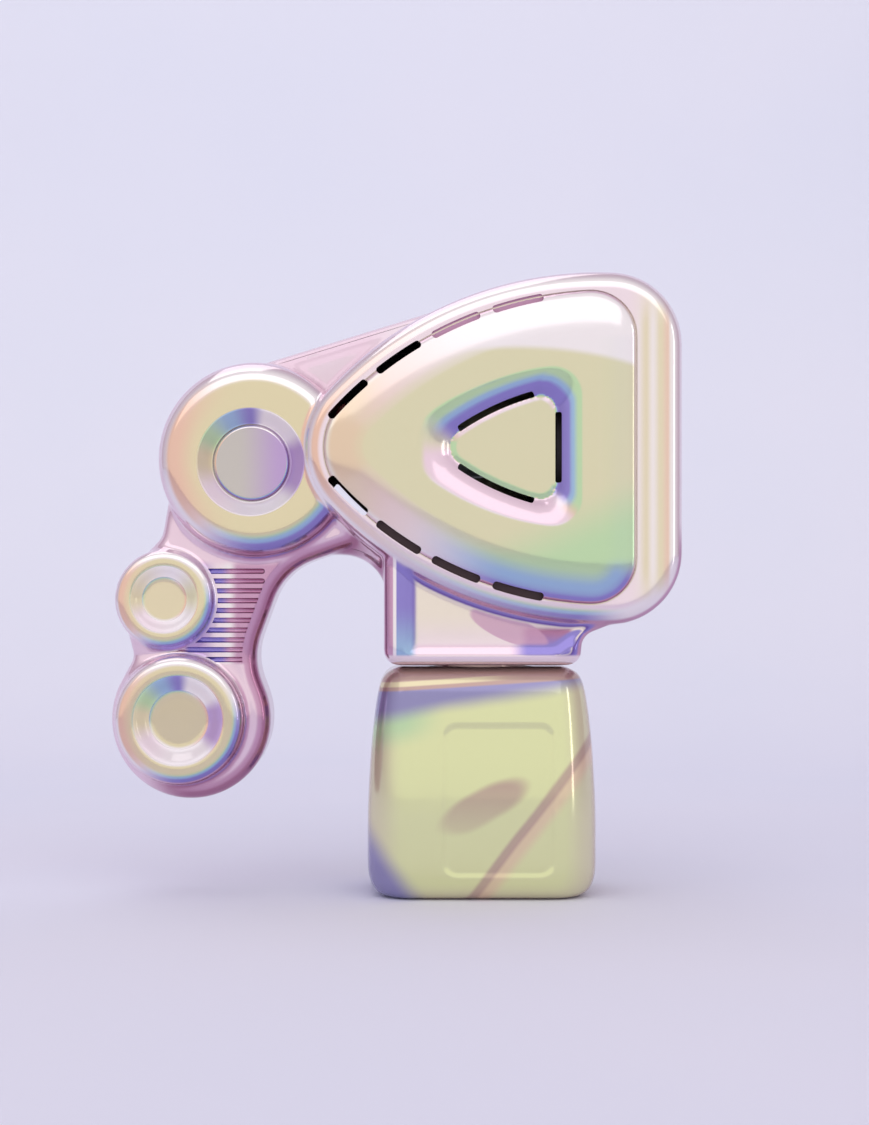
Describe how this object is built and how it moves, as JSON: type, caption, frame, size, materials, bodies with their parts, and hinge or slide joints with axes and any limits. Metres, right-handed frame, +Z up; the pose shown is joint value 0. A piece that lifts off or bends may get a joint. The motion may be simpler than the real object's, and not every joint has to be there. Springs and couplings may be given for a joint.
{
  "type": "bubble blower",
  "caption": "Pistol-shaped battery bubble blower: two-part casing with domed vented side panels, drum-ended handle, push button, round muzzle and a screw-on liquid bottle it stands on.",
  "frame": {"origin": "centre of the bottle's base, on the surface that the toy stands on", "axes": "+X towards the muzzle, +Y towards the left side with the cell door, +Z up"},
  "size_m": [0.1393, 0.0442, 0.152],
  "materials": {
    "casing": "gloss",
    "bottle": "gloss",
    "button": "gloss",
    "inner_plastic": "satin",
    "dark_plastic": "matte",
    "motor_can": "satin",
    "steel": "satin",
    "tube": "satin",
    "seal": "matte",
    "board": "satin",
    "cell": "satin",
    "contact": "satin",
    "red_wire": "satin",
    "black_wire": "satin"
  },
  "bodies": {
    "casing": {"right_shell": "casing", "left_shell": "casing", "right_panel": "casing", "left_panel": "casing", "muzzle": "casing", "bubble_plate": "inner_plastic", "fan_duct": "dark_plastic", "motor": "motor_can", "idler_axle": "steel", "gear_frame": "dark_plastic", "pump_axle": "steel", "pump_housing": "dark_plastic", "pump_cover": "dark_plastic", "pump_tube": "tube", "dip_tube": "tube", "bottle_socket": "dark_plastic", "button_spring": "steel", "switch_board": "board", "switch_case": "dark_plastic", "cell_tray": "dark_plastic", "front_cell": "cell", "rear_cell": "cell", "cell_contacts": "contact", "case_screws": "steel", "red_wire": "red_wire", "black_wire": "black_wire"},
    "button": {"power_button": "button", "switch_plunger": "dark_plastic"},
    "fan_rotor": {"motor_shaft": "steel", "fan": "inner_plastic", "motor_pinion": "inner_plastic"},
    "idler": {"idler_gear": "inner_plastic"},
    "pump": {"pump_gear": "inner_plastic", "pump_rotor": "inner_plastic"},
    "door": {"cell_door": "casing", "cell_door_screw": "steel"},
    "seal": {"bottle_seal": "seal"},
    "bottle": {"bottle": "bottle"}
  },
  "joints": [
    {"name": "button_press", "type": "slide", "parent": "casing", "child": "button", "axis": [0, 1, 0], "range_m": [0, 0.002], "stiffness_N_per_m": 300, "springref_m": -0.002, "deforming": ["button_spring"]},
    {"name": "fan_spin", "type": "hinge", "parent": "casing", "child": "fan_rotor", "pos_m": [0.02, 0, 0.1093], "axis": [1, 0, 0], "continuous": true},
    {"name": "idler_spin", "type": "hinge", "parent": "casing", "child": "idler", "pos_m": [-0.0117, 0, 0.09765], "axis": [1, 0, 0], "continuous": true},
    {"name": "pump_spin", "type": "hinge", "parent": "casing", "child": "pump", "pos_m": [-0.008, 0, 0.086], "axis": [1, 0, 0], "continuous": true},
    {"name": "door_lift", "type": "slide", "parent": "casing", "child": "door", "axis": [0, 1, 0], "range_m": [0, 0.03]},
    {"name": "bottle_drop", "type": "slide", "parent": "casing", "child": "seal", "axis": [0, 0, -1], "range_m": [0, 0.0048]},
    {"name": "bottle_turn", "type": "hinge", "parent": "seal", "child": "bottle", "pos_m": [0, 0, 0.03], "axis": [0, 0, -1], "range_deg": [0, 540.5]}
  ],
  "couplings": [
    {"joint": "idler_spin", "follows": "fan_spin", "ratio": -0.27778},
    {"joint": "pump_spin", "follows": "fan_spin", "ratio": 0.07716},
    {"joint": "bottle_turn", "follows": "bottle_drop", "rad_per_m": 1963.5}
  ]
}
